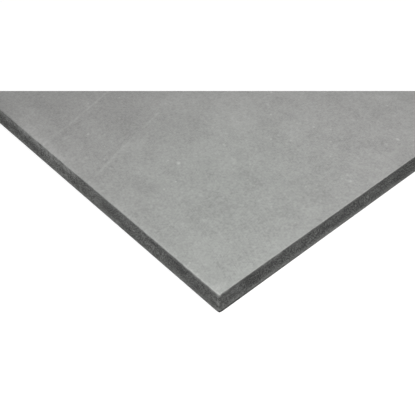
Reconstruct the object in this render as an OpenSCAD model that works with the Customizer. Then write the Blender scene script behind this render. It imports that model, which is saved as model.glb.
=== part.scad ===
// Medium density fibreboard (MDF), dyed grey right through: one sawn panel, lying flat.
// Origin: middle of the underside. X runs along the length, Y along the width, Z up through the thickness.
// Both faces are sanded, all four sides are sawn, and the sharp edges are worn slightly round.

/* [Panel] */
// Length of the panel, along X (mm)
board_l = 1220; // [300:1:3660]
// Width of the panel, along Y (mm)
board_w = 610; // [200:1:2100]
// Thickness of the panel, along Z (mm)
board_t = 19; // [6:0.5:50]

/* [Edges] */
// Radius worn on the sharp edges between the two faces and the sawn sides (mm)
arris_r = 0.5; // [0.2:0.1:3]
// Radius worn on the four upright corners (mm)
corner_r = 1.5; // [0.5:0.1:10]

/* [Colour] */
// Colour of the dyed fibre, as red, green and blue shares
fibre_colour = [0.66, 0.67, 0.655];

/* [Hidden] */

// The arris is limited to half the corner radius that it turns round, and to under half the thickness.
edge_r = min(arris_r, corner_r / 2, 0.45 * board_t);
// The core is the rectangle between the centres of the four rounded corners.
core_l = board_l - 2 * corner_r;
core_w = board_w - 2 * corner_r;
// Steps that a full circle is drawn with
arc_steps = 96;

// Section through a sawn side: X points outward from the core and Y up, with both arrises rounded.
module side_section() {
    square([corner_r - edge_r, board_t]);
    translate([0, edge_r])
        square([corner_r, board_t - 2 * edge_r]);
    for (arris_z = [edge_r, board_t - edge_r])
        translate([corner_r - edge_r, arris_z])
            circle(r = edge_r, $fn = arc_steps);
}

// An upright corner, turned round the origin from the +X side to the +Y side,
// and the sawn side that faces +X and runs from that corner towards -Y.
module corner_and_side(run) {
    rotate_extrude(angle = 90, $fn = arc_steps)
        side_section();
    rotate([90, 0, 0])
        linear_extrude(height = run)
            side_section();
}

// The whole panel: the core, with a corner and a side set round each of its own four corners.
// Everything is placed by the core's two sizes alone, so that the pieces meet whatever the sizes are.
module board() {
    color(fibre_colour)
        translate([-core_l / 2, -core_w / 2, 0]) {
            cube([core_l, core_w, board_t]);
            translate([core_l, core_w, 0])
                corner_and_side(core_w);
            translate([0, core_w, 0])
                rotate([0, 0, 90])
                    corner_and_side(core_l);
            rotate([0, 0, 180])
                corner_and_side(core_w);
            translate([core_l, 0, 0])
                rotate([0, 0, 270])
                    corner_and_side(core_l);
        }
}

board();
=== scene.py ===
# %% [markdown]
# # A panel of grey MDF, lying flat
#
# Medium density fibreboard is wood fibre, resin and here a grey dye, pressed hot into one dense sheet. The
# two faces are then sanded smooth and pale. A saw cuts the sides, and a sawn side looks darker, because the
# blade leaves broken fibre that swallows light. This lesson builds that panel round a measured model of it.
#
# The measured model is loaded first and stays fixed. It is exact but plain. Its box is kept, and the new
# panel is built to that size.

import math

import bmesh
import bpy
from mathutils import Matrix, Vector, noise


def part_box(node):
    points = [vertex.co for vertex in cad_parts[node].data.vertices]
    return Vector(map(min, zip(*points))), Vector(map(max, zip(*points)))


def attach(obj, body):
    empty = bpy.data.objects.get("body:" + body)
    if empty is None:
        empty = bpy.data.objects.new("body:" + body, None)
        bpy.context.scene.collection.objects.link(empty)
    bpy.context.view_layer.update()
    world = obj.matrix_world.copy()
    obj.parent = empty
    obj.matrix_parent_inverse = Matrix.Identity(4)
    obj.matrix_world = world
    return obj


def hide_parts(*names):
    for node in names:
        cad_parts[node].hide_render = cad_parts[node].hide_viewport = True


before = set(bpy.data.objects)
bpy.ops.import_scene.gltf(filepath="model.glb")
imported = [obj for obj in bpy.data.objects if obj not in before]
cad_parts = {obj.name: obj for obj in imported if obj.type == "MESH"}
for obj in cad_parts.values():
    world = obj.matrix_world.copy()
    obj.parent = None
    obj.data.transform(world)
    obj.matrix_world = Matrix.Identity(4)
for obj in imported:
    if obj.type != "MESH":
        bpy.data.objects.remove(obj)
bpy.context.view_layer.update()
MM = 0.001
X, Y, Z = 0, 1, 2

low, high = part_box("board")
middle = (low + high) / 2
length, width, thickness = high - low
print(f"panel {length / MM:.1f} x {width / MM:.1f} x {thickness / MM:.1f} mm")

# %% [markdown]
# ## The camera
#
# The camera comes before the modelling, because it says how much of the panel is seen, and how fine its
# detail has to be. It looks down on the corner where the front and the right side meet, from about an arm's
# length away.
#
# A camera could be aimed by hand. Here it is worked out instead: it has a heading, a downward tilt and a
# lens, and it is set back from the corner until the corner lies where it should in the frame. The two
# offsets are shares of the frame's side, measured from its middle.

# %% Place the camera
HEADING = math.radians(47.88)  # turned from looking along +Y towards looking along -X
TILT_DOWN = math.radians(43.56)
LENS_MM, SENSOR_MM = 63.79, 36.0
CORNER_DEPTH = 490.4 * MM  # from the lens to the corner, along the line of sight
CORNER_RIGHT, CORNER_DOWN = 0.0294, 0.2130

near_corner = Vector((high.x, low.y, high.z))
sideways = Vector((math.cos(HEADING), math.sin(HEADING), 0))
level_ahead = Vector((-math.sin(HEADING), math.cos(HEADING), 0))
line_of_sight = level_ahead * math.cos(TILT_DOWN) - Vector((0, 0, math.sin(TILT_DOWN)))
camera_up = sideways.cross(line_of_sight)
frame_side = SENSOR_MM / LENS_MM  # at one metre from the lens

to_corner = line_of_sight + (sideways * CORNER_RIGHT - camera_up * CORNER_DOWN) * frame_side
camera_data = bpy.data.cameras.new("camera")
camera_data.lens = LENS_MM
camera_data.sensor_width = SENSOR_MM
camera = bpy.data.objects.new("camera", camera_data)
bpy.context.scene.collection.objects.link(camera)
camera.location = near_corner - to_corner * CORNER_DEPTH
camera.rotation_mode = "QUATERNION"
camera.rotation_quaternion = line_of_sight.to_track_quat("-Z", "Y")
bpy.context.scene.camera = camera
print(f"camera {(camera.location.z - high.z) / MM:.0f} mm above the upper face")

# %% [markdown]
# A close view like this one ends before the panel does. What is seen is a wide strip, with only white above
# it. The panel isn't cut for that. The camera has a far clip, a plane square to the line of sight past
# which it sees nothing but the background, and where that plane crosses the upper face it draws one level
# line. The share below says how far above the frame's middle that line lies.

# %% End the view at a level line
VIEW_ENDS_UP = 0.2809
# how far a ray to that line drops, for each metre of depth
drop_at_line = math.sin(TILT_DOWN) - VIEW_ENDS_UP * frame_side * math.cos(TILT_DOWN)
camera_data.clip_end = (camera.location.z - high.z) / drop_at_line
print(f"the view ends {camera_data.clip_end / MM:.0f} mm from the lens")

# %% [markdown]
# ## The panel: a block with worn corners
#
# The real panel starts as a flat slab with square edges, and handling wears those edges a little round. The
# upright corners wear most, because they are what gets knocked. Bevel does this twice: once on the four
# upright edges, and then on the two rims.

# %% Round the block
CORNER_R, ARRIS_R = 1.5 * MM, 0.5 * MM
CORNER_STEPS, ARRIS_STEPS = 6, 3
TINY = 0.01 * MM  # shorter than any real edge


def run_of(edge):
    """How far an edge runs along X, Y and Z."""
    a, b = edge.verts
    return Vector([abs(d) for d in b.co - a.co])


def round_edges(edges, radius, steps):
    """Wears edges of the panel to a radius."""
    bmesh.ops.bevel(
        panel,
        geom=edges,
        offset=radius,
        offset_type="OFFSET",
        segments=steps,
        profile=0.5,
        affect="EDGES",
        material=-1,
    )


panel = bmesh.new()
bmesh.ops.create_cube(panel, size=1.0)
bmesh.ops.scale(panel, vec=high - low, verts=panel.verts)
bmesh.ops.translate(panel, vec=middle, verts=panel.verts)
round_edges([e for e in panel.edges if run_of(e).z > TINY], CORNER_R, CORNER_STEPS)
round_edges([e for e in panel.edges if run_of(e).z < TINY], ARRIS_R, ARRIS_STEPS)
print(f"rounded block: {len(panel.faces)} faces")

# %% [markdown]
# ## Fine cells on the sawn sides
#
# The saw leaves a rough surface, and roughness needs points to move. Only the sides are rough, so only the
# sides are cut into fine cells. The two large faces are taken off first, so that the cuts don't run across
# them, and afterwards each is filled again with one flat face. A narrow flat ring is inset round it, which
# keeps the smooth shading of the rounded rim off the rest of the face.

# %% Cut the sides into cells and close the faces
CELL = 1.25 * MM
ROWS = 16
RING = 0.8 * MM
LONG_EDGE = 10 * CORNER_R
LARGE_AREA = 0.1 * length * width
FLAT = 0.999  # the least share of up or down in a level face's normal


def cells_along(axis):
    """Cuts every long edge that runs along one axis into cells."""
    long_edges = [e for e in panel.edges if run_of(e)[axis] > LONG_EDGE]
    cuts = round(max(run_of(e)[axis] for e in long_edges) / CELL) - 1
    bmesh.ops.subdivide_edges(panel, edges=long_edges, cuts=cuts, use_grid_fill=True)
    return cuts


def flat_faces():
    """The two large faces."""
    return [f for f in panel.faces if abs(f.normal.z) > FLAT and f.calc_area() > LARGE_AREA]


bmesh.ops.delete(panel, geom=flat_faces(), context="FACES_ONLY")
uprights = [e for e in panel.edges if run_of(e).z > thickness / 2]
bmesh.ops.subdivide_edges(panel, edges=uprights, cuts=ROWS - 1, use_grid_fill=True)
cuts = cells_along(X), cells_along(Y)
rims = [e for e in panel.edges if e.is_boundary]
bmesh.ops.holes_fill(panel, edges=rims, sides=0)  # 0 is a hole with any number of sides
bmesh.ops.inset_individual(panel, faces=flat_faces(), thickness=RING, use_even_offset=True)
bmesh.ops.recalc_face_normals(panel, faces=panel.faces)
open_edges = sum(not e.is_manifold for e in panel.edges)
print(f"{cuts} cuts along X and Y, {len(panel.faces)} faces, {open_edges} open edges")

# %% [markdown]
# ## Torn fibre and small nicks
#
# Dense fibre near the two faces cuts cleanly, and looser fibre in the core tears, so the relief is deepest
# half way up. It could be a Displace modifier, but a modifier can't tell the core from the skin. Moving
# each point by a short rule can. Every point moves inward only, because the panel must stay inside its
# measured box.
#
# The arrises also have nicks, a few millimetres long, where something has touched them. The same kind of
# noise gives those, and only its highest peaks count. The lower tip of the near corner has been set down
# hard, and is a little crushed.

# %% Tear the sides and nick the arrises
CORE_TEAR, SKIN_TEAR = 0.16 * MM, 0.03 * MM
CLUMP, FLECK = 4.5 * MM, 1.6 * MM
EVEN_SHARE, CLUMP_SHARE, FLECK_SHARE = 0.5, 0.6, 0.5
NICK_LONG, NICK_DEEP = 8 * MM, 0.45 * MM
NICK_FROM = 0.42  # the level of the noise at which a nick starts
ARRIS_SHARE = 0.15  # of half the thickness
ELSEWHERE = Vector((7, 3, 1))  # in the noise, so that nicks and clumps don't go together
KNOCK_REACH, KNOCK_DEEP = 3 * MM, 0.5 * MM
half_core = Vector((length / 2 - CORNER_R, width / 2 - CORNER_R, 0))  # out to where a corner starts


def outward(point):
    """The level direction out of the panel, which turns with the upright corners."""
    flat = Vector((point.x - middle.x, point.y - middle.y, 0))
    inner = Vector([max(-half, min(half, p)) for p, half in zip(flat, half_core)])
    return (flat - inner).normalized()


def off_middle_share(z):
    """0 half way up the side, 1 at the two faces."""
    return abs(2 * (z - low.z) / thickness - 1)


def tear(point):
    """How deep the saw tore the fibre here."""
    in_clumps, in_flecks = noise.noise(point / CLUMP), noise.noise(point / FLECK)
    rough = EVEN_SHARE + CLUMP_SHARE * in_clumps + FLECK_SHARE * in_flecks
    core_share = 1 - off_middle_share(point.z) ** 2
    return max(0, rough) * (SKIN_TEAR + (CORE_TEAR - SKIN_TEAR) * core_share)


def nick(point):
    """How deep the arris is nicked here."""
    near_arris = max(0, off_middle_share(point.z) - (1 - ARRIS_SHARE)) / ARRIS_SHARE
    peak = max(0, noise.noise(point / NICK_LONG + ELSEWHERE) - NICK_FROM)
    return NICK_DEEP * near_arris * peak


def knock(point):
    """How far the lower tip of the near corner is crushed here."""
    gap = (point - Vector((high.x, low.y, low.z))).length
    return KNOCK_DEEP * max(0, 1 - gap / KNOCK_REACH)


deepest = 0
for vert in panel.verts:
    from_ends = length / 2 - abs(vert.co.x - middle.x)
    from_long_sides = width / 2 - abs(vert.co.y - middle.y)
    if min(from_ends, from_long_sides) < ARRIS_R + TINY:
        inward = tear(vert.co) + nick(vert.co) + knock(vert.co)
        vert.co -= outward(vert.co) * inward
        deepest = max(deepest, inward)
print(f"deepest tear or nick {deepest / MM:.2f} mm")

# %% [markdown]
# ## Where each surface lies on the map
#
# A texture map is a flat sheet that the surfaces are laid out on, for use outside Blender. An automatic
# unwrap shares it out by area, so the underside would take as much as the upper face, and the sides next to
# nothing. Laid out one by one, the upper face gets half the sheet, the underside a smaller copy, and each
# sawn side a strip that is stretched across, so that its fine clumps keep their detail.

# %% Lay out the map
SHEET = 0.98 / length  # how much of the sheet a metre of the upper face takes
STRIP = 2.2 * SHEET  # and a metre across a sawn side
islands = {  # left end and lower edge on the sheet, then the scale along and across
    "upper": (0.01, 0.5, SHEET, SHEET),
    "under": (0.01, 0.25, SHEET / 2, SHEET / 2),
    "front": (0.01, 0.2, SHEET, STRIP),
    "back": (0.01, 0.15, SHEET, STRIP),
    "right": (0.01, 0.1, SHEET, STRIP),
    "left": (0.51, 0.1, SHEET, STRIP),
}


def island_of(face):
    """Which piece of the map a face lies on."""
    normal = face.normal
    if abs(normal.z) > FLAT:
        return "upper" if normal.z > 0 else "under"
    if abs(normal.x) > abs(normal.y):
        return "right" if normal.x > 0 else "left"
    return "back" if normal.y > 0 else "front"


def place_on_sheet(point, island):
    """A point's place on the sheet: laid flat for a face, unrolled over the arris for a side."""
    left_end, lower_edge, along_scale, across_scale = islands[island]
    from_low = point - low
    if island in ("upper", "under"):
        along, across = from_low.x, from_low.y
    else:
        run_axis, depth_axis = (X, Y) if island in ("front", "back") else (Y, X)
        along = from_low[run_axis]
        setback = min(from_low[depth_axis], (high - point)[depth_axis])
        across = from_low.z + math.copysign(setback, point.z - middle.z) + CORNER_R
    return left_end + along * along_scale, lower_edge + across * across_scale


sheet = panel.loops.layers.uv.new("OFBake")
for face in panel.faces:
    island = island_of(face)
    face.material_index = 0 if island in ("upper", "under") else 1
    face.smooth = True
    for loop in face.loops:
        loop[sheet].uv = place_on_sheet(loop.vert.co, island)
on_sheet = [loop[sheet].uv for face in panel.faces for loop in face.loops]
across, up = max(uv.x for uv in on_sheet), max(uv.y for uv in on_sheet)
print(f"the map reaches {across:.2f} across and {up:.2f} up")

# %% [markdown]
# ## From points to an object
#
# A bmesh is a workbench: the shape is made there, and nothing of it shows in the scene. It is now written
# to a mesh, and an object carries that mesh. The object stays at the origin, unturned and unscaled, because
# the mesh already lies where the panel does.

# %% Make the panel an object
board_mesh = bpy.data.meshes.new("fibre_panel")
panel.to_mesh(board_mesh)
panel.free()
board = bpy.data.objects.new("fibre_panel", board_mesh)
bpy.context.scene.collection.objects.link(board)
triangles = sum(len(p.vertices) - 2 for p in board_mesh.polygons)
print(f"{triangles} triangles")

# %% [markdown]
# ## Small helpers for materials
#
# A material here is a few layers of noise, each at the size of something real, added up to one number, the
# tone. The tone is 1 where the fibre has its usual grey, and each layer makes it a few hundredths lighter
# or darker. These helpers add a node, link it and hand it back, so that each material below reads like a
# recipe. A node maker holds one node tree, and everything that it adds goes there.


# %% Node helpers
class NodeMaker:
    """Adds nodes to a material or a world, and links them as they are added."""

    def __init__(self, owner):
        owner.use_nodes = True
        self.tree = owner.node_tree

    def add(self, kind, sockets=None, **settings):
        """A new node, with settings by name and sockets given a value or another node's output."""
        node = self.tree.nodes.new(kind)
        for name, value in settings.items():
            setattr(node, name, value)
        for name, value in (sockets or {}).items():
            if isinstance(value, bpy.types.NodeSocket):
                self.tree.links.new(value, node.inputs[name])
            else:
                node.inputs[name].default_value = value
        return node

    def math(self, operation, a, b=0.0, c=0.0):
        """Arithmetic on numbers."""
        return self.add("ShaderNodeMath", {0: a, 1: b, 2: c}, operation=operation).outputs[0]

    def vector(self, operation, sockets):
        """Arithmetic on places and colours. It gives a vector, or a number if the operation makes one."""
        node = self.add("ShaderNodeVectorMath", sockets, operation=operation)
        return next(output for output in node.outputs if output.enabled)


# %% [markdown]
# Most layers come from three kinds of value. Noise gives patches of one size, and noise on a stretched
# place gives streaks. A fade turns a distance into a share from 0 to 1. The last helper adds the layers up.
# A recipe is a node maker that has a material of its own and knows these words.


# %% Noise, fades and layers
class Recipe(NodeMaker):
    """What a maker would say about a finish: noise of a size, a fade over a distance, and layers."""

    def __init__(self, name):
        self.material = bpy.data.materials.new(name)
        super().__init__(self.material)
        self.shader = self.tree.nodes["Principled BSDF"]
        self.place = self.add("ShaderNodeTexCoord").outputs["Object"]

    def noise(self, place, size, detail=0.0, keep=0.5):
        """Noise in patches of about that size, from 0 to 1. Each octave keeps that share of the last."""
        sockets = {"Vector": place, "Scale": 1 / size, "Detail": detail, "Roughness": keep}
        return self.add("ShaderNodeTexNoise", sockets).outputs["Fac"]

    def stretch(self, place, scale, turn=0.0):
        """The same place after a turn about Z, with each axis scaled: a small scale draws noise out."""
        sockets = {"Vector": place, "Angle": turn}
        turned = self.add("ShaderNodeVectorRotate", sockets, rotation_type="Z_AXIS").outputs["Vector"]
        return self.vector("MULTIPLY", {0: turned, 1: scale})

    def fade(self, value, full, none):
        """1 where the value is at full, easing to 0 where it is at none."""
        sockets = {"Value": value, "From Min": none, "From Max": full}
        return self.add("ShaderNodeMapRange", sockets, interpolation_type="SMOOTHSTEP").outputs["Result"]

    def product(self, *values):
        """All the values multiplied: 1 only where each of them is 1."""
        total = values[0]
        for value in values[1:]:
            total = self.math("MULTIPLY", total, value)
        return total

    def layers(self, base, *parts):
        """The base plus each part: a value, how much it counts, and the level that changes nothing."""
        total = base
        for value, amount, level in parts:
            total = self.math("MULTIPLY_ADD", value, amount, self.math("ADD", total, -amount * level))
        return total


sanded = Recipe("sanded_face")
sawn = Recipe("sawn_side")
print(f"two recipes to fill: {sanded.material.name} and {sawn.material.name}")

# %% [markdown]
# ## The sanded face
#
# Up close a sanded face isn't one grey. Fibre bundles take the dye unevenly, which gives soft mottling from
# a hand's width down to a millimetre. On top of it lie short fibres in every direction, a few pale specks
# of dust, and streaks from the sanding belt.
#
# An image could show all this, but it would repeat or blur on a panel this long. Noise at real sizes
# doesn't. Each layer is noise on the panel's own coordinates, in metres, and short fibres are noise drawn
# out along three directions.

# %% Sanded face: mottling, fibres and belt streaks
MOTTLE, PATCH, FIBRE, STREAK = 30 * MM, 170 * MM, 0.9 * MM, 7 * MM
FIBRE_TURNS = 15, 75, 135  # degrees
ALONG_FIBRE, ALONG_STREAK = (0.25, 1, 1), (1 / 40, 1, 1)

mottling = sanded.noise(sanded.place, MOTTLE, detail=4.5, keep=0.95)
patches = sanded.noise(sanded.place, PATCH, detail=1.0)
drawn_out = [sanded.stretch(sanded.place, ALONG_FIBRE, math.radians(turn)) for turn in FIBRE_TURNS]
fibre_sum = sanded.layers(0.0, *[(sanded.noise(place, FIBRE), 1.0, 0.0) for place in drawn_out])
fibres = sanded.math("DIVIDE", fibre_sum, len(FIBRE_TURNS))
belt_streaks = sanded.noise(sanded.stretch(sanded.place, ALONG_STREAK), STREAK)
print(f"mottling {MOTTLE / MM:.0f} mm, patches {PATCH / MM:.0f} mm, fibres {FIBRE / MM:.1f} mm")

# %% [markdown]
# Dust is finer still, and scattered. Voronoi cuts the face into cells and gives each one a point and some
# chance numbers. A small disc at the point is a speck. One chance number sets how large it is, and cubed,
# so that most of them stay tiny. The other sets how pale it is.

# %% Sanded face: dust
SPECK_GAP = 12 * MM
SMALLEST, LARGEST_MORE = 0.02, 0.13  # radii, as shares of the gap

scatter = {"Vector": sanded.place, "Scale": 1 / SPECK_GAP}
specks = sanded.add("ShaderNodeTexVoronoi", scatter, voronoi_dimensions="2D").outputs
luck = sanded.add("ShaderNodeSeparateXYZ", {0: specks["Color"]}).outputs
mostly_small = sanded.math("POWER", luck["X"], 3.0)
speck_radius = sanded.math("MULTIPLY_ADD", mostly_small, LARGEST_MORE, SMALLEST)
dust = sanded.product(sanded.fade(specks["Distance"], 0.0, speck_radius), luck["Y"])
largest = (SMALLEST + LARGEST_MORE) * SPECK_GAP
print(f"specks up to {largest / MM:.1f} mm in radius, about {SPECK_GAP / MM:.0f} mm apart")

# %% [markdown]
# Some marks are particular to this panel, and noise would never put them in the right place. Two long
# shallow scratches cross the face near the front side. There are soft paler and darker patches, a few
# larger specks, a painted highlight on the front arris by the corner, and painted shade where the light
# falls off far along the front. Each is a stroke: a line between two points, a width, and how much lighter
# or darker it makes the fibre. A scratch is simply a thin stroke.
#
# A place is given in millimetres: in from the right side, in from the front side, and down from the upper
# face.

# %% Where the marks on the face are
SCRATCHES = [  # from, to, half width, lighter or darker by
    ((151, 0, 0), (169.5, 50, 0), 2.0, 0.12),  # the nearer scratch
    ((169.5, 50, 0), (186, 100, 0), 2.0, 0.14),
    ((155, 2, 0), (173, 49, 0), 2.5, -0.025),  # a faint shade beside it
    ((173, 49, 0), (189.5, 99, 0), 2.5, -0.025),
    ((215.5, 0, 0), (224.5, 34, 0), 2.0, 0.06),  # the farther scratch
    ((224.5, 34, 0), (244.5, 96, 0), 2.0, 0.10),
    ((212, 0, 0), (221, 43, 0), 2.5, -0.05),  # and its shade
]
SOFT_MARKS_AND_PAINTED_LIGHT = [  # the same, for soft marks, painted highlight and painted shade
    ((192, 0, 0), (245, 0, 0), 10.5, 0.13),  # paler along the front
    ((196, 0, 0), (251, 0, 0), 33, 0.08),
    ((70, 0, 0), (144, 0, 0), 14, 0.06),
    ((1, 1, 0), (5, 5, 0), 7, 0.08),  # the corner itself
    ((0.5, 0.3, 0), (70, 0.3, 0), 1.4, 0.14),  # painted highlight on the arris beside it
    ((190, 0.3, 0), (290, 0.3, 0), 1.8, -0.09),
    ((228, 0.3, 0), (290, 0.3, 0), 1.8, -0.08),
    ((67, 263.5, 0), (72, 260.5, 0), 6.7, 0.11),  # a dab far up the right side
    ((105, 105, 0), (150, 160, 0), 36, 0.06),  # a paler patch, in the middle
    ((0, 15, 0), (0, 105, 0), 30, 0.05),  # and behind the corner
    ((268, 0, 0), (316, 0, 0), 21, -0.12),  # painted shade where the light falls off, along the front
    ((0, 197, 0), (0, 230, 0), 15, -0.07),  # darker along the right side
    ((230, 29, 0), (263, 58, 0), 33, -0.05),  # from here on, darker patches
    ((255, 32, 0), (275, 38, 0), 20, -0.05),
    ((205, 74, 0), (240, 92, 0), 34, -0.09),
    ((180, 63, 0), (196, 70, 0), 15, -0.07),
    ((160, 103, 0), (154, 116, 0), 18, -0.05),
    ((113, 155, 0), (127, 174, 0), 17, -0.05),
    ((118, 28, 0), (112, 33, 0), 17, -0.06),
    ((79, 17, 0), (84, 14, 0), 13, -0.04),
]
DUST_SPOTS = [  # the same, for single pale specks
    ((122.7, 68.5, 0), (123.3, 68.9, 0), 2.4, 0.42),
    ((23.7, 224, 0), (24.3, 224.4, 0), 2.2, 0.34),
    ((26, 211, 0), (26, 212, 0), 2.3, 0.28),
    ((16, 153.5, 0), (16, 154.5, 0), 2.1, 0.28),
    ((114, 111, 0), (116, 112, 0), 1.7, 0.24),
    ((131, 179, 0), (132, 179, 0), 1.9, 0.24),
]
print(f"{len(SCRATCHES)} pieces of scratch, {len(SOFT_MARKS_AND_PAINTED_LIGHT)} scuffs, {len(DUST_SPOTS)} larger specks")

# %% [markdown]
# For a stroke, each point of the surface is dropped square onto the line, and the distance between the two
# is faded out over half the width. Real marks aren't even along their length, so a noise weakens the stroke
# here and there.


# %% Strokes
def corner_point(inset):
    """The point that lies so many millimetres in from the right, in from the front and down."""
    from_right, from_front, down = inset
    return Vector((high.x - from_right * MM, low.y + from_front * MM, high.z - down * MM))


def stroke(recipe, start, end, half_width):
    """1 along the middle of a line, easing to 0 at half its width."""
    origin = corner_point(start)
    run = corner_point(end) - origin
    from_start = recipe.vector("SUBTRACT", {0: recipe.place, 1: origin})
    along = recipe.vector("DOT_PRODUCT", {0: from_start, 1: run / run.length_squared})
    share = recipe.add("ShaderNodeClamp", {"Value": along}).outputs[0]
    nearest = recipe.vector("SCALE", {0: run, "Scale": share})
    gap = recipe.vector("DISTANCE", {0: from_start, 1: nearest})
    return recipe.fade(gap, 0.0, half_width * MM)


def broken_strokes(recipe, marks, breaks, unevenness):
    """Layers for a list of marks, made uneven by a noise, and in places broken off."""
    uneven = recipe.math("MULTIPLY_ADD", breaks, unevenness, 1 - unevenness / 2)
    kept = recipe.math("MAXIMUM", uneven, 0.0)
    return [(recipe.product(stroke(recipe, *line), kept), lighter, 0.0) for *line, lighter in marks]


BREAK = 14 * MM
SCRATCH_BREAKS, SCUFF_BREAKS = 3.5, 2.4  # how uneven they are
breaks = sanded.noise(sanded.place, BREAK, detail=2.0)
strokes = broken_strokes(sanded, SCRATCHES, breaks, SCRATCH_BREAKS)
strokes += broken_strokes(sanded, SOFT_MARKS_AND_PAINTED_LIGHT + DUST_SPOTS, mottling, SCUFF_BREAKS)
print(f"{len(strokes)} strokes on the upper face")

# %% [markdown]
# The tone multiplies a colour, and the same noises roughen the surface and lift it a little. Two greys are
# blended, since the dye is a touch greener in a wide patch near the corner. Close to the rims the face is
# painted paler, a painted highlight where it rolls over into the rounded arris. These helpers serve the
# sawn sides too.


# %% Colour, roughness and relief
def inside(recipe, axis):
    """How far in from the two sides, or the two faces, that lie square to that axis."""
    axes = recipe.add("ShaderNodeSeparateXYZ", {0: recipe.place}).outputs
    off_middle = recipe.math("ABSOLUTE", recipe.math("SUBTRACT", axes[axis], middle[axis]))
    return recipe.math("SUBTRACT", (high - low)[axis] / 2, off_middle)


def blend(recipe, first, second, share):
    """The first colour where the share is 0, and the second where it is 1."""
    return recipe.vector("MULTIPLY_ADD", {0: share, 1: Vector(second) - Vector(first), 2: first})


def finish_surface(recipe, colour, tone, rough, shine, height, depth):
    """Colour times tone, how rough and shiny it is, and bumps: a height of 1 stands for the depth."""
    toned = recipe.vector("SCALE", {0: colour, "Scale": tone})
    relief = {"Strength": 1.0, "Distance": depth, "Height": height}
    bumps = recipe.add("ShaderNodeBump", relief).outputs["Normal"]
    for source, socket in (toned, "Base Color"), (rough, "Roughness"), (bumps, "Normal"):
        recipe.tree.links.new(source, recipe.shader.inputs[socket])
    recipe.shader.inputs["Specular IOR Level"].default_value = shine
    print(f"{recipe.material.name}: {len(recipe.tree.nodes)} nodes")


# %% Sanded face: put the layers together
FIBRE_GREY, GREENER_GREY = (0.3522, 0.351, 0.3434), (0.3416, 0.351, 0.3372)
FACE_ROUGH, FACE_SHINE, FACE_RELIEF = 0.74, 0.25, 0.08 * MM
GREENER_PATCH = (20, 20, 0), (80, 80, 0), 160  # from, to, half width
# painted highlight along the rims of the face, where it rolls over into the arris
LONG_RIM_HIGHLIGHT, SHORT_RIM_HIGHLIGHT = (0.4 * MM, 3.5 * MM), (0.3 * MM, 2.0 * MM)  # palest as far in as, and gone by

greener = stroke(sanded, *GREENER_PATCH)
long_rim_highlight = sanded.fade(inside(sanded, Y), *LONG_RIM_HIGHLIGHT)
short_rim_highlight = sanded.fade(inside(sanded, X), *SHORT_RIM_HIGHLIGHT)
face_tone = sanded.layers(  # each is a value, how much it counts, and the level that changes nothing
    1.0,
    (patches, 0.12, 0.5),
    (mottling, 0.66, 0.5),
    (fibres, 0.76, 0.5),
    (belt_streaks, 0.05, 0.5),
    (dust, 0.40, 0.0),
    # the painted highlight along the rims
    (long_rim_highlight, 0.07, 0.0),
    (short_rim_highlight, 0.10, 0.0),
    *strokes,
)
face_rough = sanded.layers(FACE_ROUGH, (mottling, 0.3, 0.5))
face_height = sanded.layers(0.5, (fibres, 0.8, 0.5), (mottling, 0.6, 0.5))
face_grey = blend(sanded, FIBRE_GREY, GREENER_GREY, greener)
finish_surface(sanded, face_grey, face_tone, face_rough, FACE_SHINE, face_height, FACE_RELIEF)

# %% [markdown]
# ## The sawn side
#
# The sawn side is darker and rougher than the face. It has dark and light clumps from a few millimetres to
# a thumb's width, streaks along the panel where the fibre mat was laid in layers, and fine upright lines
# left by the saw's teeth. Close to both faces the board is pressed densest, and a band there is lighter.
# Near the underside that band is painted lighter still, to lift the shade where the panel meets the floor.
# The upright corners are rubbed pale, and the rims carry a painted highlight where the arris catches the
# light.
#
# The pattern has to follow the side round the corner. X plus Y does that: on the front it grows with X, on
# the right side with Y, and it is the same at the corner where they meet.

# %% Sawn side: clumps, layers and saw lines
LARGE_CLUMP, TUFT, SMALL_FLECK, LAYER, SAW_LINE = 17 * MM, 4.0 * MM, 1.15 * MM, 1.5 * MM, 1.0 * MM
ALONG_CLUMP, ALONG_LAYER, UP_THE_SIDE = (0.55, 1, 1), (1 / 7, 1, 1), (1, 1 / 14, 1)
BLADE_LEAN = math.radians(4)

axes = sawn.add("ShaderNodeSeparateXYZ", {0: sawn.place}).outputs
round_the_corner = sawn.math("ADD", axes["X"], axes["Y"])
unrolled = sawn.add("ShaderNodeCombineXYZ", {"X": round_the_corner, "Y": axes["Z"]}).outputs[0]
clumps = sawn.noise(sawn.stretch(unrolled, ALONG_CLUMP), LARGE_CLUMP, detail=1.0)
tufts = sawn.noise(unrolled, TUFT)
flecks = sawn.noise(unrolled, SMALL_FLECK)
mat_layers = sawn.noise(sawn.stretch(unrolled, ALONG_LAYER), LAYER, detail=1.0)
saw_lines = sawn.noise(sawn.stretch(unrolled, UP_THE_SIDE, BLADE_LEAN), SAW_LINE)
print(f"clumps {LARGE_CLUMP / MM:.0f} mm, tufts {TUFT / MM:.0f} mm, flecks {SMALL_FLECK / MM:.2f} mm")
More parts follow.
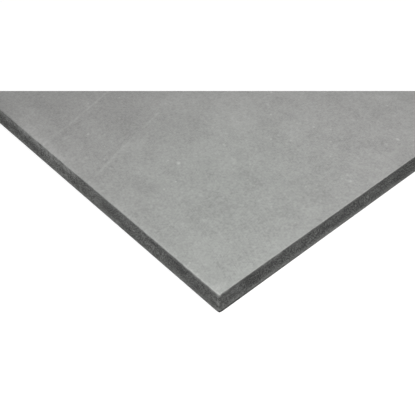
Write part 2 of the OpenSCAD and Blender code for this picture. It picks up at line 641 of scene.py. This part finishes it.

# %% [markdown]
# The front side also has one long scuff that the others don't have. It starts under the arris, and widens
# and dips as it runs away from the corner. The upright corner is rubbed pale, the arrises beside it carry a
# painted highlight, the lower rim by the corner is painted with shade, and a few blotches are darker than
# the rest. The same strokes serve for these, because they work in space and not on a sheet.

# %% Where the marks on the sides are
SIDE_STROKES = [  # from, to, half width, lighter or darker by
    ((0.5, 0, 0), (36, 0, 0), 2.8, 0.60),  # painted highlight on the arrises by the corner
    ((0.5, 0, 0), (85, 0, 0), 2.6, 0.25),
    ((6, 0, 1), (9, 0, 1), 2.4, 0.22),
    ((0, 0.5, 0), (0, 9, 0), 2.6, 0.40),
    ((234, 0, 0), (300, 0, 0), 2.2, -0.30),  # and darker far along the front
    ((254, 0, 3), (290, 0, 3), 5, 0.22),  # with a paler patch below
    ((170, 0, 1), (251, 0, 3), 9.6, 0.55),  # the long scuff on the front
    ((226, 0, 10.5), (325, 0, 7.5), 5.3, -0.16),  # the shade below it
    ((165, 0, 13), (240, 0, 14), 6.5, 0.25),  # rubbed patches on the front
    ((102, 0, 15), (118, 0, 16), 7, 0.25),
    ((62, 0, 9), (78, 0, 9), 10, 0.32),
    ((42, 0, 10), (56, 0, 12), 10, -0.22),  # dark clumps on the front
    ((34, 0, 3), (44, 0, 5), 6.7, -0.15),
    ((45, 0, 2.5), (58, 0, 2.5), 4.5, -0.15),
    ((195, 0, 15.5), (285, 0, 15.5), 3.5, -0.12),
    ((2.1, 0, 2), (1.5, 0, 10), 2.5, 0.40),  # the corner, rubbed pale
    ((2, 0, 13.5), (0, 3, 13.5), 5.5, 0.30),
    ((5, 0, 9), (31, 0, 9), 8.7, 0.22),
    ((0, 4, 8), (0, 20, 9), 9.6, 0.24),
    ((0, 25, 7), (0, 37, 8), 8, -0.22),  # dark clumps on the right side
    ((0, 22, 2.5), (0, 29, 2.5), 4.5, -0.18),
    ((0, 194, 15.5), (0, 225, 15.5), 4, -0.20),
    ((0, 64, 8), (0, 81, 8), 8.7, -0.18),
    ((0, 197, 6), (0, 230, 12), 13.5, -0.20),
    ((0, 245, 9), (0, 290, 9), 9.6, -0.10),
    ((0, 44, 2), (0, 57, 2), 6, 0.40),  # and rubbed patches there
    ((0, 10, 15.5), (0, 36, 15.5), 3.5, 0.26),
    ((0, 90, 12), (0, 100, 11), 8, 0.25),
    ((0, 96, 8), (0, 144, 8), 8.7, 0.12),
    ((0, 158, 9), (0, 180, 9), 9, 0.22),
    ((0.5, 0.5, 18.4), (0, 18, 18.2), 2.4, -1.80),  # painted shade on the lower rim by the corner, where the arris faces the floor
    # painted shade, farther along the lower rim
    ((0, 18, 18.2), (0, 80, 18.4), 2, -1.00),
]
print(f"{len(SIDE_STROKES)} strokes on the sides")

# %% [markdown]
# The long sides and the short sides differ. The pale skin shows at the top of the long sides and more at
# the bottom of the short ones, which are also a touch paler overall, and the painted highlight on the rims
# is left off the short sides. Under the upper arris, and at the near corner, the cut is smoother, so the
# torn fibre counts for less there.

# %% Sawn side: skins, worn rims and smooth places
TOP_SKIN, BOTTOM_SKIN_AND_PAINTED_LIGHT = (0.0, 6 * MM), (1 * MM, 7 * MM)  # palest as far in as, and gone by
CORNER_WEAR, SIDE_RIM_HIGHLIGHT = (0.6 * MM, 2.4 * MM), (0.2 * MM, 0.9 * MM)
CLEAN_CUT = 0.5 * MM, 3.5 * MM  # under the upper arris
NEAR_END = 1.0 * MM, 3.0 * MM  # what lies this close to an end is on a short side
SMOOTH_CORNER = (0, 0, 8), (20, 0, 8), 55  # from, to, half width

from_top = sawn.math("SUBTRACT", high.z, axes["Z"])
from_bottom = sawn.math("SUBTRACT", axes["Z"], low.z)
top_skin = sawn.fade(from_top, *TOP_SKIN)
# the denser skin, painted lighter still to lift the shade by the floor
bottom_skin_and_painted_light = sawn.fade(from_bottom, *BOTTOM_SKIN_AND_PAINTED_LIGHT)
under_arris = sawn.fade(from_top, *CLEAN_CUT)
short_side = sawn.fade(inside(sawn, X), *NEAR_END)
long_side = sawn.math("SUBTRACT", 1.0, short_side)
from_upright_corner = sawn.math("MAXIMUM", inside(sawn, X), inside(sawn, Y))
worn_corner = sawn.fade(from_upright_corner, *CORNER_WEAR)
# painted highlight on the rims, where the arris catches the light
side_rim_highlight = sawn.fade(inside(sawn, Z), *SIDE_RIM_HIGHLIGHT)
smooth_corner = stroke(sawn, *SMOOTH_CORNER)
calm = sawn.layers(1.0, (under_arris, -0.55, 0.0), (smooth_corner, -0.3, 0.0))
print(f"{sawn.material.name}: {len(sawn.tree.nodes)} nodes so far")

# %% Sawn side: put the layers together
SIDE_GREY = (0.1830, 0.1858, 0.1802)
SIDE_ROUGH, SIDE_SHINE, SIDE_RELIEF = 0.82, 0.2, 0.35 * MM
DARKEST, PALEST = 0.3, 2.6  # the tone's limits

torn_fibre = sawn.layers(
    0.0,
    (clumps, 1.6, 0.5),
    (tufts, 0.8, 0.5),
    (flecks, 2.8, 0.5),
    (mat_layers, 0.9, 0.5),
    (saw_lines, 0.35, 0.5),
)
side_tone = sawn.layers(
    1.0,
    (sawn.product(torn_fibre, calm), 1.0, 0.0),
    (sawn.product(top_skin, long_side), 0.34, 0.25),
    # these two: the denser skin, plus painted light lifting the shade by the floor
    (bottom_skin_and_painted_light, 0.42, 0.25),
    (sawn.product(bottom_skin_and_painted_light, short_side), 0.45, 0.25),
    (short_side, 0.05, 0.0),
    (worn_corner, 0.20, 0.0),
    # painted highlight on the rims
    (side_rim_highlight, 0.74, 0.0),
    # the painted highlight, left off the short sides
    (sawn.product(side_rim_highlight, short_side), -0.72, 0.0),
    *broken_strokes(sawn, SIDE_STROKES, tufts, SCUFF_BREAKS),
)
limited = sawn.add("ShaderNodeClamp", {"Value": side_tone, "Min": DARKEST, "Max": PALEST}).outputs[0]
side_rough = sawn.layers(SIDE_ROUGH, (tufts, 0.2, 0.5))
side_height = sawn.layers(0.5, (flecks, 0.8, 0.5), (tufts, 0.6, 0.5), (saw_lines, 0.4, 0.5))
finish_surface(sawn, SIDE_GREY, limited, side_rough, SIDE_SHINE, side_height, SIDE_RELIEF)

# %% [markdown]
# The two recipes go on the mesh in the order that its faces were numbered in: 0 for the faces, and 1 for
# the sides. The panel then takes the place of the measured one.

# %% Set the panel in the frame
for recipe in (sanded, sawn):
    board_mesh.materials.append(recipe.material)
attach(board, "root")
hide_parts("board")
print(f"{board.name} with {', '.join(m.name for m in board_mesh.materials)} stands for the measured board")

# %% [markdown]
# ## Floor and backdrop
#
# The panel lies on a plain white floor that runs out of sight. One flat square does, if it is so large that
# its far edge is lost in the distance.

# %% Floor
FLOOR_SIDE = 60.0
UNDER_PANEL = 0.1 * MM  # the gap that keeps the two from sharing a plane

ground = bmesh.new()
bmesh.ops.create_grid(ground, x_segments=1, y_segments=1, size=FLOOR_SIDE / 2)
bmesh.ops.translate(ground, vec=(0, 0, low.z - UNDER_PANEL), verts=ground.verts)
floor_mesh = bpy.data.meshes.new("floor")
ground.to_mesh(floor_mesh)
ground.free()
floor = bpy.data.objects.new("floor", floor_mesh)
bpy.context.scene.collection.objects.link(floor)
print(f"floor {FLOOR_SIDE:.0f} m square, {UNDER_PANEL / MM:.1f} mm under the panel")

# %% [markdown]
# A white floor would need very strong light to look white, and that light would wash out the panel. So what
# the floor shows is told apart from how it is lit. Its own colour is a mid grey, which takes the panel's
# soft shadow and lights the sawn sides a little from below. To the camera and in reflections it also glows,
# but that glow lights nothing.
#
# Far from the panel there is no shadow to keep, so there the glow rises until the floor is as white as the
# sky, and no horizon shows.


# %% White floor
def seen_directly(maker):
    """1 for what the camera sees, straight or mirrored, and 0 for the light that bounces about."""
    rays = maker.add("ShaderNodeLightPath").outputs
    mirrored = maker.math("MAXIMUM", rays["Is Glossy Ray"], rays["Is Transmission Ray"])
    return maker.math("MAXIMUM", rays["Is Camera Ray"], mirrored)


FLOOR_GREY, WHITE = (0.45, 0.45, 0.45, 1), (1, 1, 1, 1)
NEAR_GLOW, FAR_GLOW = 0.81, 0.95
NEAR, FAR = 0.8, 2.0  # metres from the middle of the panel

white_floor = Recipe("white_floor")
away = white_floor.vector("LENGTH", {0: white_floor.place})
far_off = white_floor.fade(away, FAR, NEAR)
glow = white_floor.layers(NEAR_GLOW, (far_off, FAR_GLOW - NEAR_GLOW, 0.0))
shown = white_floor.product(seen_directly(white_floor), glow)
surface = white_floor.shader.inputs
surface["Base Color"].default_value = FLOOR_GREY
surface["Roughness"].default_value = 1.0
surface["Specular IOR Level"].default_value = 0.0
surface["Emission Color"].default_value = WHITE
white_floor.tree.links.new(shown, surface["Emission Strength"])
floor_mesh.materials.append(white_floor.material)
print(f"the floor glows {NEAR_GLOW} near the panel and {FAR_GLOW} far off")

# %% [markdown]
# ## Light
#
# Soft, plain studio light: an even sky, and one soft lamp over the near corner. The lamp is close, so the
# face is brightest at that corner and falls off towards the far side. Weaker lamps look after the middle,
# the far end, the front side and the two sides at the back.

# %% Sky
SKY, BACKDROP = 0.235, 1.04  # what lights the panel, and what shows behind it

world = bpy.data.worlds.new("studio")
bpy.context.scene.world = world
studio = NodeMaker(world)
levels = {"Value": seen_directly(studio), "To Min": SKY, "To Max": BACKDROP}
level = studio.add("ShaderNodeMapRange", levels).outputs["Result"]
sky = studio.tree.nodes["Background"].inputs
sky["Color"].default_value = WHITE
studio.tree.links.new(level, sky["Strength"])
print(f"sky {SKY}, backdrop {BACKDROP}")

# %% [markdown]
# The lamps are squares of white light. A lamp that is moved away has to be made stronger, by the square of
# the distance. So each is given here by the share of full light that it should bring to its target, and the
# helper works out the watts. Full light is what makes a white surface look just white.

# %% Lamps
FULL_LIGHT = math.pi**2  # watts, at one metre


def soft_lamp(name, place, target, side_m, share):
    """A square white lamp that gives that share of full light at its target."""
    data = bpy.data.lights.new(name, "AREA")
    data.shape = "SQUARE"
    data.size = side_m
    throw = Vector(target) - Vector(place)
    data.energy = share * FULL_LIGHT * throw.length_squared
    lamp = bpy.data.objects.new(name, data)
    bpy.context.scene.collection.objects.link(lamp)
    lamp.location = place
    lamp.rotation_mode = "QUATERNION"
    lamp.rotation_quaternion = throw.to_track_quat("-Z", "Y")
    lamp.visible_camera = False
    print(f"{name}: {data.energy:.2f} W")


LAMPS = [  # name, place, target and side in metres, share of full light
    ("key_lamp", (0.71, -0.25, 0.53), (0.71, -0.25, 0.02), 0.3, 0.88),
    ("middle_lamp", (-0.12, 0.12, 0.5), (-0.12, 0.12, 0.02), 0.4, 0.2),
    ("far_lamp", (-0.5, 0.0, 0.6), (-0.5, 0.0, 0.02), 0.5, 0.4),
    ("front_lamp", (0.2, -1.5, 0.3), (0.35, -0.3, 0.01), 0.8, 0.27),
    ("back_lamp", (-1.3, 1.1, 0.35), (-0.61, 0.305, 0.01), 0.8, 0.3),
]
for lamp in LAMPS:
    soft_lamp(*lamp)

# %% [markdown]
# The Standard view shows colours as they are lit. Blender's usual one would grey the whites.

# %% How colours are shown
bpy.context.scene.view_settings.view_transform = "Standard"
print(f"view transform {bpy.context.scene.view_settings.view_transform}")
